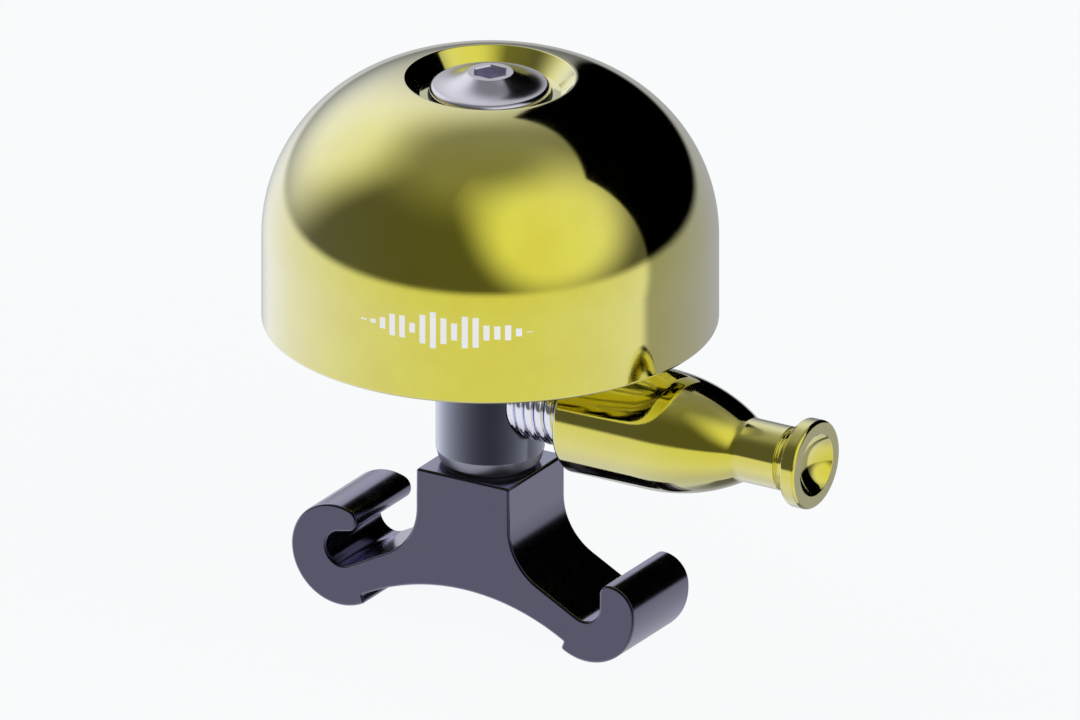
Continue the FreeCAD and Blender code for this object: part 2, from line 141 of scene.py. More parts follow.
def outline(steps, closed=True, step=2.5, hold=0.05):
    """Points of an outline. A step is (across, up, soft), a straight edge to the next step, or
    (across, up, soft, radius, turn), an arc to it. soft is the rounding of the step's own corner,
    or 0 where the outline is smooth or ends. Straight edges get a holding point near each end."""
    spots = [np.array(s[:2], float) for s in steps]
    count = len(steps) if closed else len(steps) - 1
    edges = []
    for i in range(count):
        start, end = spots[i], spots[(i + 1) % len(steps)]
        if len(steps[i]) > 3:
            edges.append(arc_points(start, end, *steps[i][3:], step))
        else:
            edges.append(np.array([start, end]))
    rounds = {}
    for i in range(0 if closed else 1, count):
        soft = steps[i][2]
        if soft:
            rounds[i], reach = rounding(spots[i], edges[i - 1], edges[i], soft)
            edges[i - 1] = trimmed(edges[i - 1][::-1], reach)[::-1]
            edges[i] = trimmed(edges[i], reach)
    points = []
    for i, edge in enumerate(edges):
        if i in rounds:
            points.extend(rounds[i][:-1])
        length = float(np.hypot(*(edge[-1] - edge[0])))
        if len(edge) == 2 and length > 4 * hold:
            way = unit(edge[1] - edge[0])
            edge = np.array([edge[0], edge[0] + way * hold, edge[1] - way * hold, edge[1]])
        points.extend(edge[:-1])
    if not closed:
        points.append(edges[-1][-1])
    return [tuple(float(c) for c in p) for p in points]


# ---------------------------------------------------------------- meshes

SHARP = 35


def finish_mesh(name, bm, angle=SHARP):
    """Makes an object of a bmesh given in millimetres, smooth up to an angle in degrees."""
    bmesh.ops.scale(bm, vec=(MM, MM, MM), verts=bm.verts)
    bmesh.ops.recalc_face_normals(bm, faces=bm.faces)
    mesh = bpy.data.meshes.new(name)
    bm.to_mesh(mesh)
    bm.free()
    for polygon in mesh.polygons:
        polygon.use_smooth = True
    mesh.set_sharp_from_angle(angle=math.radians(angle))
    piece = bpy.data.objects.new(name, mesh)
    bpy.context.scene.collection.objects.link(piece)
    return piece


def bridge(bm, one, two):
    """Faces between two closed rings of vertices, either of which may be a single pole."""
    count = max(len(one), len(two))
    for i in range(count):
        j = (i + 1) % count
        if len(one) == 1:
            bm.faces.new((one[0], two[i], two[j]))
        elif len(two) == 1:
            bm.faces.new((one[i], one[j], two[0]))
        else:
            bm.faces.new((one[i], one[j], two[j], two[i]))


def turn_bmesh(profile, segments=240, along_x=False):
    """A turned solid. The profile is (radius, height) points, and a third value of True makes
    that ring a hexagon, its radius being half the width across flats. along_x lays it along the
    striker's axis, so that heights are places along X."""
    bm = bmesh.new()
    rings = []
    for radius, height, *hexagon in profile:
        if radius < 1e-6:
            spots = [(0.0, 0.0, height)]
        else:
            spots = []
            for i in range(segments):
                angle = 2 * math.pi * i / segments
                reach = radius
                if hexagon:
                    reach = radius / math.cos((angle % (math.pi / 3)) - math.pi / 6)
                spots.append((reach * math.cos(angle), reach * math.sin(angle), height))
        if along_x:
            spots = [(z, y, STRIKER_Z - x) for x, y, z in spots]
        rings.append([bm.verts.new(spot) for spot in spots])
    for one, two in zip(rings, rings[1:]):
        bridge(bm, one, two)
    if len(rings[0]) > 1 and len(rings[-1]) > 1:
        bridge(bm, rings[-1], rings[0])
    return bm


def turned(name, profile, segments=240, along_x=False):
    """An object of a turned solid."""
    return finish_mesh(name, turn_bmesh(profile, segments, along_x))


def ring(name, node, inner, soft):
    """A flat ring with softened edges, as wide and as thick as the CAD node."""
    low, high = corners(node)
    outer, bottom, top = high[0], low[2], high[2]
    steps = [(inner, bottom, soft), (outer, bottom, soft), (outer, top, soft), (inner, top, soft)]
    return turned(name, outline(steps, hold=0.02), 192)


def inset_ring(points, distance):
    """A closed outline moved inwards, its points being anticlockwise."""
    here = np.array(points)
    ways = np.roll(here, -1, 0) - here
    ways /= np.maximum(np.hypot(ways[:, 0], ways[:, 1]), 1e-9)[:, None]
    normals = np.column_stack([-ways[:, 1], ways[:, 0]])
    before = np.roll(normals, 1, 0)
    miter = normals + before
    miter /= np.maximum((miter * normals).sum(1), 0.3)[:, None]
    return here + miter * distance


def extruded(points, half_depth, edge, hold=0.04):
    """A bmesh of an outline in XZ, extruded both ways along Y, with rounded rims."""
    bm = bmesh.new()
    layers = [(edge + hold, 0.0)]
    rim_steps = 5
    for k in range(rim_steps + 1):
        angle = math.pi / 2 * k / rim_steps
        layers.append((edge * (1 - math.sin(angle)), edge * (1 - math.cos(angle))))
    layers.append((0.0, edge + hold))
    rings = []
    for side in (-1, 1):
        for inset, depth in layers if side < 0 else reversed(layers):
            y = side * (half_depth - depth)
            spots = inset_ring(points, inset)
            rings.append([bm.verts.new((x, y, z)) for x, z in spots])
    for one, two in zip(rings, rings[1:]):
        bridge(bm, one, two)
    bm.faces.new(rings[0])
    bm.faces.new(rings[-1][::-1])
    return bm


def cut(piece, cutter):
    """Cuts one solid out of another for good, and drops the cutter."""
    modifier = piece.modifiers.new("cut", "BOOLEAN")
    modifier.operation = "DIFFERENCE"
    modifier.solver = "EXACT"
    modifier.object = cutter
    graph = bpy.context.evaluated_depsgraph_get()
    mesh = bpy.data.meshes.new_from_object(piece.evaluated_get(graph))
    piece.modifiers.clear()
    piece.data = mesh
    bpy.data.objects.remove(cutter)
    mesh.set_sharp_from_angle(angle=math.radians(SHARP))


# ---------------------------------------------------------------- the pieces


def make_dome():
    """The turned bell: straight band, one crown arc, and the dished recess for the cap."""
    rim = corners("bell_dome")[0][2]
    recess = corners("cap_washer")[0][2]
    wall, band_top, crown = 1.6, 30.4, 14.3
    mouth, floor, hole = 7.1, 5.9, 3.1
    inside, under, inner_crown = DOME_RADIUS - wall, recess - wall, crown - wall
    crown_x = DOME_RADIUS - crown
    bend = mouth + wall * 0.8
    mouth_z = band_top + math.sqrt(crown**2 - (mouth - crown_x) ** 2)
    bend_z = band_top + math.sqrt(inner_crown**2 - (bend - crown_x) ** 2)
    steps = [
        (inside, rim, 0.3),
        (DOME_RADIUS, rim, 0.3),
        (DOME_RADIUS, band_top, 0, crown, 1),
        (mouth, mouth_z, 0.12),
        (floor, recess, 0.1),
        (hole, recess, 0.05),
        (hole, under, 0.05),
        (mouth, under, 0.6),
        (bend, bend_z, 0.3, inner_crown, -1),
        (inside, band_top, 0),
    ]
    return turned("bell_dome_turned", outline(steps, step=1.6), 288)


def socket_profile(top, depth, chamfer, way):
    """Rings of a hexagonal socket with a drilled floor, from its mouth down to its middle. way
    is 1 if the socket goes down from its mouth, and -1 if it goes up."""
    flat = KEY_SIZE / 2
    return [
        (flat + chamfer, top, True),
        (flat + 0.01, top - way * (chamfer + 0.01), True),
        (flat, top - way * (chamfer + 0.06), True),
        (flat, top - way * (depth - 0.04), True),
        (flat - 0.02, top - way * depth, True),
        (flat * 0.86, top - way * (depth + 0.02)),
        (flat * 0.5, top - way * (depth + 0.16)),
        (0.0, top - way * (depth + 0.3)),
    ]


def make_cap_screw():
    """The stainless cap: rounded edge, waisted top, small hub and a socket for the key."""
    low, high = corners("cap_screw")
    end, radius, top = low[2], high[0], high[2]
    seat = corners("cap_washer")[1][2]
    hub, hub_flat, waist = 1.95, 1.5, 5.0
    lower_edge, upper_edge = 0.42, 0.4
    widest = seat + lower_edge
    steps = [
        (0.0, end, 0),
        (SCREW_SHANK, end, 0.3),
        (SCREW_SHANK, seat, 0.1),
        (radius - lower_edge, seat, 0, lower_edge, 1),
        (radius, widest, 0, upper_edge, 1),
        (radius - upper_edge, widest + upper_edge, 0.1, waist, -1),
        (hub, top, 0.1),
        (hub_flat, top, 0),
    ]
    profile = outline(steps, closed=False, step=2.5, hold=0.03)
    profile += socket_profile(top, depth=1.9, chamfer=0.09, way=1)
    return turned("cap_screw_turned", profile, 240)


def make_base_screw():
    """The low-headed screw under the bracket."""
    low, high = corners("base_screw")
    head, bottom, end = high[0], low[2], high[2]
    seat = corners("base_lock_washer")[0][2]
    steps = [
        (0.0, end, 0),
        (SCREW_SHANK, end, 0.25),
        (SCREW_SHANK, seat, 0.1),
        (head, seat, 0.15),
        (head, bottom, 0.35),
        (head / 2, bottom, 0),
    ]
    profile = outline(steps, closed=False, hold=0.03)
    profile += socket_profile(bottom, depth=1.2, chamfer=0.12, way=-1)
    return turned("base_screw_turned", profile, 192)


def around(radius, height, angle):
    """A point at a distance from the post's axis."""
    return (radius * math.cos(angle), radius * math.sin(angle), height)


def make_post():
    """The turned post, its side bored for the spring. A patch of rings spreads from the bore's
    mouth to a rectangle of the turning's own grid, so that every point is on the cylinder."""
    low, high = corners("post")
    bottom, top = low[2], high[2]
    chamfer_z, top_edge_z = bottom + POST_CHAMFER, top - 0.24
    foot, hole, hold = POST_RADIUS - 0.32, 3.0, 0.06
    half_wide_bore, half_tall_bore, floor, lip = 3.08, 3.3, 2.3, 0.03
    columns, half_patch_columns, patch_rows, half_patch = 96, 16, 16, 4.6
    patch_low, patch_high = STRIKER_Z - half_patch, STRIKER_Z + half_patch
    column_angle = 2 * math.pi / columns
    bm = bmesh.new()
    grid = {}

    def spot(column, height):
        """The grid's one vertex at a column and height."""
        key = (column % columns, round(height, 4))
        if key not in grid:
            angle = column_angle * (column % columns)
            grid[key] = bm.verts.new(around(POST_RADIUS, height, angle))
        return grid[key]

    def plain_ring(radius, height):
        """A ring of the turning that isn't part of the grid."""
        return [bm.verts.new(around(radius, height, column_angle * c)) for c in range(columns)]

    # the grid, less the patch
    rows = [patch_low + 2 * half_patch * i / patch_rows for i in range(patch_rows + 1)]
    heights = [chamfer_z, chamfer_z + hold] + rows
    heights += [24.0, 30.0, top_edge_z - hold, top_edge_z]
    heights = sorted(set(round(h, 4) for h in heights))
    for lower, upper in zip(heights, heights[1:]):
        beside_patch = patch_low - 1e-3 <= lower and upper <= patch_high + 1e-3
        for column in range(columns):
            signed = (column + columns // 2) % columns - columns // 2
            if beside_patch and -half_patch_columns <= signed < half_patch_columns:
                continue
            after = column + 1
            face = ((column, lower), (after, lower), (after, upper), (column, upper))
            bm.faces.new([spot(*corner) for corner in face])

    # the patch, from the bore's mouth to its own border in the grid
    left, right = -half_patch_columns, half_patch_columns
    border = [(c, rows[0]) for c in range(left, right)]
    border += [(right, z) for z in rows[:-1]]
    border += [(c, rows[-1]) for c in range(right, left, -1)]
    border += [(left, z) for z in reversed(rows[1:])]
    outer = [spot(c, z) for c, z in border]
    angles = [column_angle * c for c, _ in border]
    spins = [
        math.atan2((z - STRIKER_Z) / half_patch, angle / (column_angle * half_patch_columns))
        for angle, (_, z) in zip(angles, border)
    ]
    mouths = []
    for share in (0.0, 0.03, 0.12, 0.3, 0.55, 0.8):
        loop = []
        for angle, (_, z), spin in zip(angles, border, spins):
            inner_angle = math.asin((half_wide_bore + lip) * math.cos(spin) / POST_RADIUS)
            inner_z = STRIKER_Z + (half_tall_bore + lip) * math.sin(spin)
            turn = inner_angle + (angle - inner_angle) * share
            height = inner_z + (z - inner_z) * share
            loop.append(bm.verts.new(around(POST_RADIUS, height, turn)))
        mouths.append(loop)
    for one, two in zip(mouths, mouths[1:] + [outer]):
        bridge(bm, one, two)

    # the bore, from its rounded mouth to its flat floor
    inside = []
    for flare, dip in ((0.01, 0.01), (0.0, 0.04), (0.0, 0.1), (0.0, None)):
        loop = []
        for spin in spins:
            y = (half_wide_bore + flare) * math.cos(spin)
            z = STRIKER_Z + (half_tall_bore + flare) * math.sin(spin)
            x = floor if dip is None else math.sqrt(POST_RADIUS**2 - y**2) - dip
            loop.append(bm.verts.new((x, y, z)))
        inside.append(loop)
    inside.append([bm.verts.new((floor, 0, STRIKER_Z))])
    for one, two in zip([mouths[0]] + inside, inside):
        bridge(bm, one, two)

    # the chamfered foot, and the top under the dome's bush
    foot_rings = (
        (POST_RADIUS - 0.02, chamfer_z - hold),
        (foot + 0.05, bottom + hold),
        (foot, bottom),
        (hole, bottom),
    )
    top_rings = ((POST_RADIUS - 0.07, top - 0.07), (POST_RADIUS - 0.24, top), (hole, top))
    for first_z, ring_sizes, end in ((chamfer_z, foot_rings, bottom), (top_edge_z, top_rings, top)):
        first = [spot(c, first_z) for c in range(columns)]
        loops = [plain_ring(*size) for size in ring_sizes] + [[bm.verts.new((0, 0, end))]]
        for one, two in zip([first] + loops, loops):
            bridge(bm, one, two)
    return finish_mesh("post_turned", bm, 40)


def tangent_line(fillet, slot, side):
    """Where the arm's top leaves the neck fillet, and where it meets the strap slot."""
    (fx, fz, fr), (sx, sz, sr) = fillet, slot
    reach = math.hypot(sx - fx, sz - fz)
    across, up = (sx - fx) / reach, (sz - fz) / reach
    swing = (fr - sr) / reach
    cosine = math.sqrt(1 - swing**2)
    nx, nz = across * swing + up * cosine, up * swing - across * cosine
    return (side * (fx + fr * nx), fz + fr * nz), (side * (sx + sr * nx), sz + sr * nz)


def make_bracket():
    """The extruded saddle bracket: neck, two arms, and a hook for the strap at each end. The
    right hook is open at its top, and the left one curls over its slot to a nose."""
    low, high = corners("bracket")
    outer, half_depth, top = high
    mount = MOUNTS["strap_slot_open"]
    slot_x, _, slot_z = [round(value / MM, 3) for value in mount["pos_m"]]
    slot_radius = mount["dims"]["r_mm"]
    neck, neck_fillet, fillet_z = 4.5, 5.18, 6.44
    fillet = (neck + neck_fillet, fillet_z, neck_fillet)
    slot = (slot_x, slot_z, slot_radius)
    right_fillet, right_slot = tangent_line(fillet, slot, 1)
    left_fillet, left_slot = tangent_line(fillet, slot, -1)

    # both hooks' lower round, the feet and the saddle between them
    hook, saddle = 4.65, 20.0
    hook_x, hook_z, hook_bottom = outer - hook, low[2] + hook, low[2]
    foot_x, saddle_x = 9.5, 9.75
    foot_z = hook_z - math.sqrt(hook**2 - (foot_x - hook_x) ** 2)
    saddle_z = math.sqrt(saddle**2 - saddle_x**2) - saddle

    # the right hook's tip: a round on the slot's side, then a flat crown
    wall, tip_round, tip_top = slot_x + slot_radius, 0.95, 3.38
    tip_x, rise = wall + tip_round, tip_top - hook_z
    crown = ((tip_x - hook_x) ** 2 + rise**2 - hook**2) / (2 * (rise - hook))
    right_way = unit(np.array([tip_x - hook_x, rise - crown]))

    # the left hook's upper round, and its nose
    tall, nose, nose_x = 4.25, 1.0, 11.3
    tall_x = outer - tall
    nose_rise = math.sqrt((tall - nose) ** 2 - (tall_x - nose_x) ** 2)
    left_way = unit(np.array([nose_x - tall_x, nose_rise]))

    steps = [
        (neck, top, 0.25),
        (neck, fillet_z, 0, neck_fillet, 1),
        (*right_fillet, 0),
        (*right_slot, 0, slot_radius, 1),
        (wall, slot_z, 0),
        (wall, tip_top - tip_round, 0, tip_round, -1),
        (tip_x, tip_top, 0, crown, -1),
        (hook_x + hook * right_way[0], hook_z + hook * right_way[1], 0, hook, -1),
        (outer, hook_z, 0, hook, -1),
        (hook_x, hook_bottom, 0, hook, -1),
        (foot_x, foot_z, 0.25),
        (saddle_x, saddle_z, 0.1, saddle, 1),
        (-saddle_x, saddle_z, 0.1),
        (-foot_x, foot_z, 0.25, hook, -1),
        (-hook_x, hook_bottom, 0, hook, -1),
        (-outer, hook_z, 0, tall, -1),
        (-(tall_x + tall * left_way[0]), hook_z + tall * left_way[1], 0, nose, -1),
        (-nose_x, hook_z + nose_rise - nose, 0.12),
        (-slot_x, slot_z + slot_radius, 0, slot_radius, 1),
        (-wall, slot_z, 0, slot_radius, 1),
        (*left_slot, 0),
        (*left_fillet, 0, neck_fillet, 1),
        (-neck, fillet_z, 0),
        (-neck, top, 0.25),
    ]
    points = outline(steps, step=3, hold=0.08)
    area = sum(a[0] * b[1] - b[0] * a[1] for a, b in zip(points, points[1:] + points[:1]))
    if area < 0:
        points = points[::-1]
    piece = finish_mesh("bracket_extruded", extruded(points, half_depth, 0.2))
    counterbore, clearance = 3.75, 2.15
    floor = corners("base_washer")[1][2]
    drill = [
        (0, -6, 0),
        (counterbore, -6, 0),
        (counterbore, floor, 0),
        (clearance, floor, 0),
        (clearance, 12, 0),
        (0, 12, 0),
    ]
    cut(piece, turned("bracket_drill", outline(drill, closed=False, hold=0.08), 96))
    return piece


def make_striker():
    """The bottle-shaped striker: barrel, shoulder, neck, groove and a dished end flange."""
    low, high = corners("striker_body")
    back, front, barrel = low[0], high[0], high[1]
    edge, shoulder_x, shoulder = 0.48, 16.4, 16.5
    neck, neck_x, groove, groove_x = 2.72, 25.0, 2.28, 29.0
    flange, flange_x, flange_round = 3.8, 30.16, 0.3
    dish, dish_depth = 2.65, 1.5
    dish_curve = (dish**2 + dish_depth**2) / (2 * dish_depth)
    bore, bore_floor = 3.37, 11.9
    steps = [
        (bore, back, 0.06),
        (barrel - edge, back, 0, edge, 1),
        (barrel, back + edge, 0),
        (barrel, shoulder_x, 0, shoulder, 1),
        (neck, neck_x, 1.1),
        (neck, groove_x, 0.1),
        (groove, groove_x, 0.06),
        (groove, flange_x, 0.06),
        (flange - flange_round, flange_x, 0, flange_round, 1),
        (flange, flange_x + flange_round, 0),
        (flange, front - flange_round, 0, flange_round, 1),
        (flange - flange_round, front, 0),
        (dish, front, 0.08, dish_curve, -1),
        (0.0, front - dish_depth, 0),
    ]
    outer = outline(steps, closed=False, step=2, hold=0.03)
    inner = [
        (0.0, bore_floor),
        (3.2, bore_floor),
        (bore, bore_floor),
        (bore, bore_floor - 0.1),
        (bore, 9.1),
    ]
    return turned("striker_turned", inner + outer, 240, along_x=True)


def coil(name, first, last):
    """A run of the close-wound spring, from one turn number to another, closed at both ends.
    Its first turns are narrower, where the bore grips them."""
    start_x, pitch, wire = 2.8, 0.98, 0.45
    narrow, wide, narrow_end, widening = 2.6, 2.86, 3.5, 1.6
    sides, steps_per_turn = 20, 56
    bm = bmesh.new()
    steps = int(round((last - first) * steps_per_turn))
    slope = pitch / (2 * math.pi)
    rings = []
    for k in range(steps + 1):
        angle = 2 * math.pi * (first + (last - first) * k / steps)
        out = Vector((0, math.sin(angle), -math.cos(angle)))
        middle = start_x + slope * angle
        grown = min(max((middle - narrow_end) / widening, 0.0), 1.0)
        radius = narrow + (wide - narrow) * grown * grown * (3 - 2 * grown)
        centre = out * radius + Vector((middle, 0, STRIKER_Z))
        along = Vector((slope, radius * math.cos(angle), radius * math.sin(angle))).normalized()
        side = along.cross(out)
        loop = []
        for j in range(sides):
            spin = 2 * math.pi * j / sides
            arm = (out * math.cos(spin) + side * math.sin(spin)) * wire
            loop.append(bm.verts.new(centre + arm))
        rings.append(loop)
        if k in (0, steps):
            pole = [bm.verts.new(centre)]
            rings.insert(0, pole) if k == 0 else rings.append(pole)
    for one, two in zip(rings, rings[1:]):
        bridge(bm, one, two)
    return finish_mesh(name, bm, 60)


# ---------------------------------------------------------------- node helpers


class Value:
    """A value in a node tree, with the usual sums, so that a shader reads like its formula."""

    def __init__(self, tree, socket):
        self.tree, self.socket = tree, socket

    def math(self, operation, *others):
        """The result of a math node on this value and the others."""
        node = self.tree.nodes.new("ShaderNodeMath")
        node.operation = operation
        for slot, item in zip(node.inputs, (self,) + others):
            plug(self.tree, slot, item)
        return Value(self.tree, node.outputs[0])

    def __add__(self, other):
        return self.math("ADD", other)

    def __sub__(self, other):
        return self.math("SUBTRACT", other)

    def __mul__(self, other):
        return self.math("MULTIPLY", other)

    def __truediv__(self, other):
        return self.math("DIVIDE", other)

    def rise(self, low, high):
        """0 below low, 1 above high, and smooth between them."""
        node = self.tree.nodes.new("ShaderNodeMapRange")
        node.interpolation_type = "SMOOTHSTEP"
        plug(self.tree, node.inputs["Value"], self)
        plug(self.tree, node.inputs["From Min"], low)
        plug(self.tree, node.inputs["From Max"], high)
        return Value(self.tree, node.outputs[0])

    def fall(self, low, high):
        """1 below low, 0 above high, and smooth between them."""
        return self.rise(low, high).flip()

    def flip(self):
        """1 less the value."""
        return self.math("MULTIPLY_ADD", -1.0, 1.0)


def plug(tree, slot, item):
    """Feeds an input from a value, or sets it to a number or colour."""
    if isinstance(item, Value):
        tree.links.new(item.socket, slot)
    else:
        slot.default_value = item


def add(tree, kind, inputs=(), output=0, **settings):
    """Adds a node with its settings and inputs, and gives one of its outputs."""
    node = tree.nodes.new(kind)
    for key, setting in settings.items():
        setattr(node, key, setting)
    for key, item in dict(inputs).items():
        plug(tree, node.inputs[key], item)
    return Value(tree, node.outputs[output])


def blend_colours(tree, share, one, two):
    """A colour between two others."""
    node = tree.nodes.new("ShaderNodeMix")
    node.data_type = "RGBA"
    plug(tree, node.inputs[0], share)
    plug(tree, node.inputs[6], one)
    plug(tree, node.inputs[7], two)
    return Value(tree, node.outputs[2])


def place(tree):
    """Position on the piece in millimetres, as a vector and as its three values."""
    coords = add(tree, "ShaderNodeTexCoord", output="Object")
    scaled = add(tree, "ShaderNodeVectorMath", {0: coords, "Scale": 1000.0}, operation="SCALE")
    split = tree.nodes.new("ShaderNodeSeparateXYZ")
    tree.links.new(scaled.socket, split.inputs[0])
    return scaled, [Value(tree, split.outputs[i]) for i in range(3)]


def noise(tree, vector, scale, detail=3.0, rough=0.5):
    """Noise at a place, its scale in cells per millimetre."""
    return add(
        tree,
        "ShaderNodeTexNoise",
        {"Vector": vector, "Scale": scale, "Detail": detail, "Roughness": rough},
    )


def squeezed(tree, vector, factors):
    """The same vector with each axis multiplied by its factor."""
    return add(tree, "ShaderNodeVectorMath", {0: vector, 1: factors}, operation="MULTIPLY")


def joined(tree, x, y, z):
    """A vector of three values."""
    return add(tree, "ShaderNodeCombineXYZ", {0: x, 1: y, 2: z})


def new_material(name):
    """A material with one plain shader, its node tree and that shader."""
    material = bpy.data.materials.new(name)
    material.use_nodes = True
    tree = material.node_tree
    tree.nodes.clear()
    shader = tree.nodes.new("ShaderNodeBsdfPrincipled")
    output = tree.nodes.new("ShaderNodeOutputMaterial")
    tree.links.new(shader.outputs[0], output.inputs[0])
    return material, tree, shader


def bump(tree, shader, height, distance):
    """Feeds a height, in shares of the distance in millimetres, to the shader's normal."""
    node = tree.nodes.new("ShaderNodeBump")
    node.inputs["Distance"].default_value = distance * MM
    node.inputs["Strength"].default_value = 1.0
    plug(tree, node.inputs["Height"], height)
    tree.links.new(node.outputs[0], shader.inputs["Normal"])


def opaque(colour):
    """A colour with full alpha, as node sockets take it."""
    return (*colour, 1.0)


def glancing(tree, power):
    """The share of plain white gloss, which grows towards the grazing edges."""
    facing = add(tree, "ShaderNodeLayerWeight", {"Blend": 0.5}, output="Facing")
    return facing.math("POWER", power)


# ---------------------------------------------------------------- materials


def metal(name, colour, tint, rough, lathe_axis, line, smudge, sheen=(1.35, 1.0, 1.0, 1.0)):
    """Turned metal: a slightly mottled colour, smudged gloss, fine tool lines round its axis,
    and small grain. lathe_axis is "Z", "X" or None for a piece that isn't turned. line is the
    depth of the tool lines in millimetres, and smudge how much the gloss varies. sheen is the
    power of the glancing gloss, and its colour."""
    material, tree, shader = new_material(name)
    vector, (x, y, z) = place(tree)
    mottled = noise(tree, vector, 0.22, 4.0, 0.6).rise(0.35, 0.7)
    plain = blend_colours(tree, mottled, opaque(colour), opaque(tint))
    whitened = blend_colours(tree, glancing(tree, sheen[0]), plain, opaque(sheen[1:]))
    smears = noise(tree, squeezed(tree, vector, (1.0, 1.0, 0.55)), 0.5, 5.0, 0.65)
    grime = noise(tree, vector, 6.0, 4.0, 0.7).rise(0.55, 0.8)
    gloss = smears.rise(0.42, 0.72) * smudge + rough + grime * (smudge * 0.4)
    height = noise(tree, vector, 14.0, 3.0, 0.6) * 0.25
    if lathe_axis:
        across, along = (x, z) if lathe_axis == "Z" else (z - STRIKER_Z, x)
        radius = (across * across + y * y).math("SQRT")
        lines = noise(tree, joined(tree, radius, along, 0.0), 9.0, 4.0, 0.7)
        height = height + lines
        gloss = gloss + lines.rise(0.5, 0.8) * (smudge * 0.5)
    bump(tree, shader, height, line)
    plug(tree, shader.inputs["Base Color"], whitened)
    plug(tree, shader.inputs["Roughness"], gloss)
    shader.inputs["Metallic"].default_value = 1.0
    return material, tree, shader, (x, y, z), (whitened, gloss)


def print_bars(x, y, z):
    """A generic mark on the band: a row of upright bars of uneven height, like a sound trace.
    Its value is 1 on the ink and 0 beside it. The azimuth is in degrees from +X towards +Y."""
    middle_azimuth, middle_z = -70.7, 29.4
    pitch, half_width, bars_each_side = 0.9, 0.24, 8
    degrees = y.math("ARCTAN2", x) * (180 / math.pi)
    across = (degrees - middle_azimuth) * (DOME_RADIUS * math.pi / 180)
    number = (across / pitch + 0.5).math("FLOOR")
    aside = (across - number * pitch).math("ABSOLUTE")
    swell = (number * 0.19).math("COSINE")
    beat = (number * 2.3 + 0.6).math("SINE").math("ABSOLUTE")
    tall = swell * (beat * 1.15 + 0.5)
    upright = (z - middle_z).math("ABSOLUTE")
    inside = aside.fall(half_width, half_width + 0.03) * (upright - tall).fall(-0.02, 0.02)
    return inside * number.math("ABSOLUTE").fall(bars_each_side + 0.2, bars_each_side + 0.4)


def brass_dome():
    """Polished brass with the white mark printed on its band."""
    material, tree, shader, (x, y, z), (colour, gloss) = metal(
        "polished_brass", (0.72, 0.67, 0.075), (0.70, 0.63, 0.065), 0.05, "Z", 0.001, 0.035
    )
    mark = print_bars(x, y, z)
    ink = blend_colours(tree, mark, colour, opaque((1.0, 1.0, 1.0)))
    plug(tree, shader.inputs["Base Color"], ink)
    plug(tree, shader.inputs["Metallic"], (mark * 0.1).flip())
    plug(tree, shader.inputs["Roughness"], gloss + mark * 0.3)
    return material


def anodised_post():
    """Nearly black anodising, with a lighter, rougher turned chamfer at the foot whose grey colour is a painted
    reflection of the floor.
    """
    sheen = (1.3, 0.84, 0.87, 1.12)
    material, tree, shader, (_, _, z), (colour, gloss) = metal(
        "post_anodised", (0.0, 0.001, 0.009), (0.002, 0.002, 0.007), 0.11, "Z", 0.0015, 0.04, sheen
    )
    chamfer_z = corners("post")[0][2] + POST_CHAMFER
    # painted reflection: the chamfer band is coloured pale grey to stand in for the bright floor it would mirror,
    # where it really mirrors the dark bracket top
    painted_chamfer_reflection = z.fall(chamfer_z - 0.02, chamfer_z + 0.01)
    chamfer_reflection_colour = opaque((0.34, 0.34, 0.42))
    plug(tree, shader.inputs["Base Color"], blend_colours(tree, painted_chamfer_reflection, colour, chamfer_reflection_colour))
    plug(tree, shader.inputs["Roughness"], gloss + painted_chamfer_reflection * 0.33)
    return material


def plastic(name, colour, tint, rough):
    """Moulded nylon: faint clouds in its colour and a soft, slightly pebbled gloss."""
    material, tree, shader = new_material(name)
    vector, _ = place(tree)
    clouds = noise(tree, vector, 0.8, 3.0, 0.6).rise(0.35, 0.7)
    cloudy = blend_colours(tree, clouds, opaque(colour), opaque(tint))
    plug(tree, shader.inputs["Base Color"], cloudy)
    grain = noise(tree, vector, 12.0, 3.0, 0.6)
    plug(tree, shader.inputs["Roughness"], grain.rise(0.3, 0.7) * 0.12 + rough)
    bump(tree, shader, grain, 0.01)
    return material


# ---------------------------------------------------------------- surroundings

CARD = (0.955, 0.972, 0.98)


def round_lamp(azimuth, height, level, middle, reach, fade):
    """A soft round light. middle is its azimuth and height in degrees, level the cosine of the
    height, reach its size to the left, right, top and bottom, and fade where its edge starts and
    ends, as shares of the reach."""
    aside = (azimuth - middle[0]) * level
    up = height - middle[1]
    left = aside.math("MINIMUM", 0.0) / reach[0]
    right = aside.math("MAXIMUM", 0.0) / reach[1]
    above = up.math("MAXIMUM", 0.0) / reach[2]
    below = up.math("MINIMUM", 0.0) / reach[3]
    distance = (left * left + right * right + above * above + below * below).math("SQRT")
    return distance.fall(*fade)


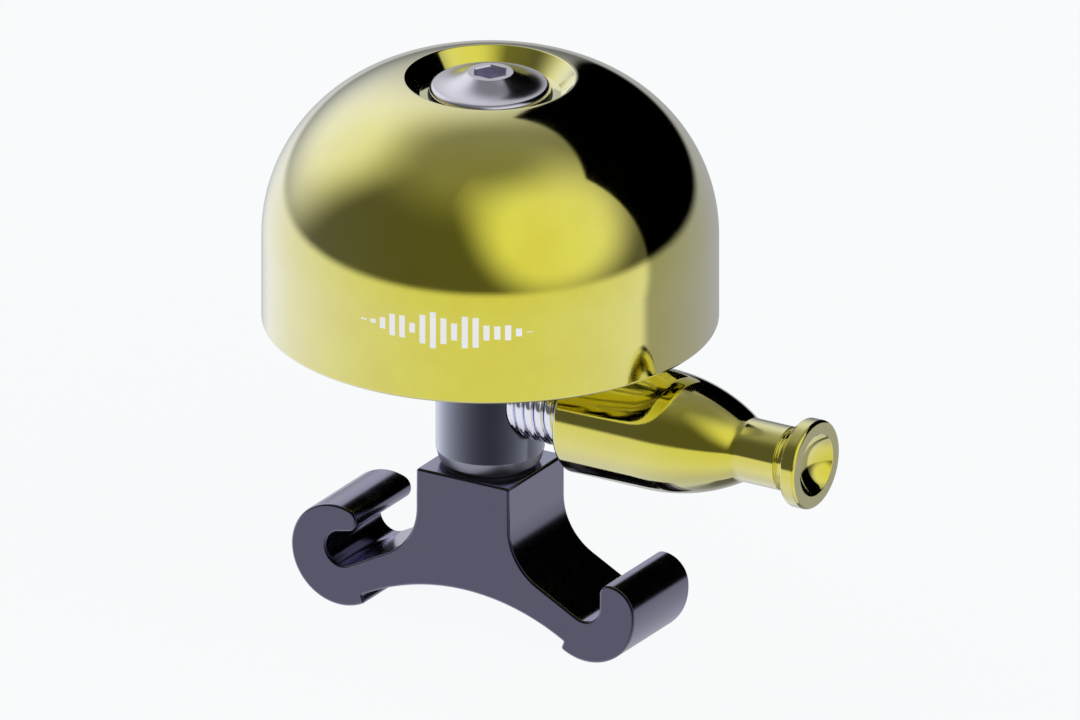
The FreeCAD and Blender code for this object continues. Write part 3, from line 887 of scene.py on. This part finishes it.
def studio(world):
    """A plain studio: a wide soft light on each side, a dark screen behind, a pale table and a
    dim room. Azimuths are in degrees from +Y towards +X. The camera sees plain pale card."""
    world.use_nodes = True
    tree = world.node_tree
    tree.nodes.clear()
    coords = add(tree, "ShaderNodeTexCoord", output="Generated")
    split = tree.nodes.new("ShaderNodeSeparateXYZ")
    tree.links.new(coords.socket, split.inputs[0])
    x, y, z = [Value(tree, split.outputs[i]) for i in range(3)]
    azimuth = x.math("ARCTAN2", y) * (180 / math.pi)
    height = z.math("MINIMUM", 1.0).math("MAXIMUM", -1.0).math("ARCSINE") * (180 / math.pi)
    level = (height * (math.pi / 180)).math("COSINE")

    room = height.rise(34, 72) * 0.16 + 0.12
    lamp_level = 0.98
    left = round_lamp(azimuth, height, level, (-78.0, 33.0), (29.0, 51.0, 25.5, 37.0), (0.31, 1.49))
    right = round_lamp(azimuth, height, level, (114.0, 29.0), (39.5, 32.5, 37.5, 32.5), (0.63, 1.43))
    sky = room + left.math("MAXIMUM", right) * (room * -1.0 + lamp_level)

    screen = azimuth.rise(-25.5, -23.5) * azimuth.fall(63, 65)
    top_edge = ((azimuth - 20.0) * (math.pi / 180)).math("COSINE") * 1.70
    screen_top = top_edge.math("ARCTANGENT") * (180 / math.pi)
    screened = screen * (height - screen_top).fall(-0.4, 1.6)
    sky = sky * screened.flip()

    shaded = azimuth.rise(-66, -22) * azimuth.fall(60, 68)
    table = shaded * -0.5 + height.rise(-78, -38) * 0.27 + 0.63
    below = height.fall(-6.75, -0.75)
    light = sky * below.flip() + table * below
    lit = {0: (0.985, 0.995, 1.0), "Scale": light}
    colour = add(tree, "ShaderNodeVectorMath", lit, operation="SCALE")
    seen = add(tree, "ShaderNodeLightPath", output="Is Camera Ray")
    shown = blend_colours(tree, seen, colour, opaque(CARD))
    background = tree.nodes.new("ShaderNodeBackground")
    plug(tree, background.inputs["Color"], shown)
    output = tree.nodes.new("ShaderNodeOutputWorld")
    tree.links.new(background.outputs[0], output.inputs[0])


def make_floor(height):
    """A wide pale table that the bell stands on. It glows like the card behind it, and takes
    only a faint shadow. Reflections show the studio's own table instead."""
    bm = bmesh.new()
    bmesh.ops.create_circle(bm, cap_ends=True, segments=96, radius=900.0)
    bmesh.ops.translate(bm, verts=bm.verts, vec=(0, 0, height))
    floor = finish_mesh("table_top", bm)
    material, _, shader = new_material("pale_table")
    shader.inputs["Base Color"].default_value = opaque((0.06, 0.06, 0.06))
    shader.inputs["Roughness"].default_value = 1.0
    shader.inputs["Specular IOR Level"].default_value = 0.0
    shader.inputs["Emission Color"].default_value = opaque(CARD)
    shader.inputs["Emission Strength"].default_value = 0.96
    floor.data.materials.append(material)
    floor.visible_glossy = False


def make_camera():
    """A catalogue view, a little above and to the right, with no perspective."""
    turn, lift = math.radians(31.1), math.radians(22.55)
    view_width, distance, aim_right, aim_up = 89.627, 400, 4.13, 17.63
    flat = math.cos(lift)
    back = Vector((math.sin(turn) * flat, -math.cos(turn) * flat, math.sin(lift)))
    right = Vector((math.cos(turn), math.sin(turn), 0))
    up = back.cross(right)
    data = bpy.data.cameras.new("camera")
    data.type = "ORTHO"
    data.ortho_scale = view_width * MM
    data.clip_start = 0.05
    data.clip_end = 20.0
    camera = bpy.data.objects.new("camera", data)
    camera.location = (back * distance + right * aim_right + up * aim_up) * MM
    camera.rotation_mode = "QUATERNION"
    camera.rotation_quaternion = (-back).to_track_quat("-Z", "Y")
    bpy.context.scene.collection.objects.link(camera)
    bpy.context.scene.camera = camera


# ---------------------------------------------------------------- assembly


def dress(piece, material, node, body=None):
    """Gives a piece its material and slot, and hides the CAD node that it stands for. A piece given a body rides
    on it."""
    piece.data.materials.clear()
    piece.data.materials.append(material)
    if body:
        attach(piece, body)
    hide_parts(node)


BRASS_DOME = brass_dome()
BRASS = metal("turned_brass", (0.72, 0.66, 0.075), (0.70, 0.63, 0.065), 0.06, "X", 0.0012, 0.04)[0]
CAP = metal(
    "turned_stainless",
    (0.62, 0.60, 0.72),
    (0.60, 0.585, 0.69),
    rough=0.17,
    lathe_axis="Z",
    line=0.002,
    smudge=0.05,
    sheen=(1.35, 0.95, 0.93, 1.0),
)[0]
POST = anodised_post()
GREY = metal(
    "grey_anodised",
    (0.0, 0.0, 0.015),
    (0.002, 0.001, 0.012),
    rough=0.17,
    lathe_axis=None,
    line=0.0015,
    smudge=0.04,
    sheen=(1.33, 0.88, 0.87, 1.2),
)[0]
WIRE = metal(
    "bright_wire",
    (0.85, 0.85, 0.97),
    (0.80, 0.80, 0.92),
    rough=0.10,
    lathe_axis="X",
    line=0.002,
    smudge=0.05,
    sheen=(1.35, 0.9, 0.92, 1.0),
)[0]
STEEL = metal("plain_steel", (0.42, 0.42, 0.45), (0.38, 0.38, 0.41), 0.22, "Z", 0.004, 0.08)[0]
NYLON = plastic("white_nylon", (0.72, 0.72, 0.68), (0.66, 0.66, 0.62), 0.42)
BLACK_NYLON = plastic("black_nylon", (0.018, 0.018, 0.02), (0.03, 0.03, 0.032), 0.45)

dress(make_dome(), BRASS_DOME, "bell_dome", "base")
dress(make_cap_screw(), CAP, "cap_screw", "base")
cap_washer = ring("cap_washer_ring", "cap_washer", inner=2.05, soft=0.03)
dress(cap_washer, BLACK_NYLON, "cap_washer", "base")
dress(make_post(), POST, "post", "base")
seat_washer = ring("seat_washer_ring", "post_seat_washer", inner=2.15, soft=0.08)
dress(seat_washer, BLACK_NYLON, "post_seat_washer", "base")
dress(make_bracket(), GREY, "bracket", "base")
dress(make_base_screw(), STEEL, "base_screw", "base")
dress(make_striker(), BRASS, "striker_body", "striker")

# The spring is two runs of coils between the post's side and the striker's back, built in place and not hung on
# any body.
STRIKER_BACK = corners("striker_body")[0][0]
for name, turns, bodies, start_x, end_x in (
    ("spring_inner_coils", (0.0, 4.0), ("base", "spring"), POST_RADIUS, 6.3),
    ("spring_outer_coils", (4.0, 8.75), ("spring", "striker"), 7.2, STRIKER_BACK),
):
    coils = coil(name, *turns)
    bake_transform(coils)
    dress(coils, WIRE, "striker_spring")

for node, material in (
    ("dome_bush", NYLON),
    ("base_washer", STEEL),
    ("base_lock_washer", STEEL),
    ("spring_anchor", STEEL),
    ("striker_stud", STEEL),
):
    cad = frame["nodes"][node]
    cad.data.materials.clear()
    cad.data.materials.append(material)

scene = bpy.context.scene
scene.world = bpy.data.worlds.new("studio")
studio(scene.world)
make_floor(CAD_BOX[0].z / MM - 0.01)
make_camera()
scene.view_settings.view_transform = "Standard"
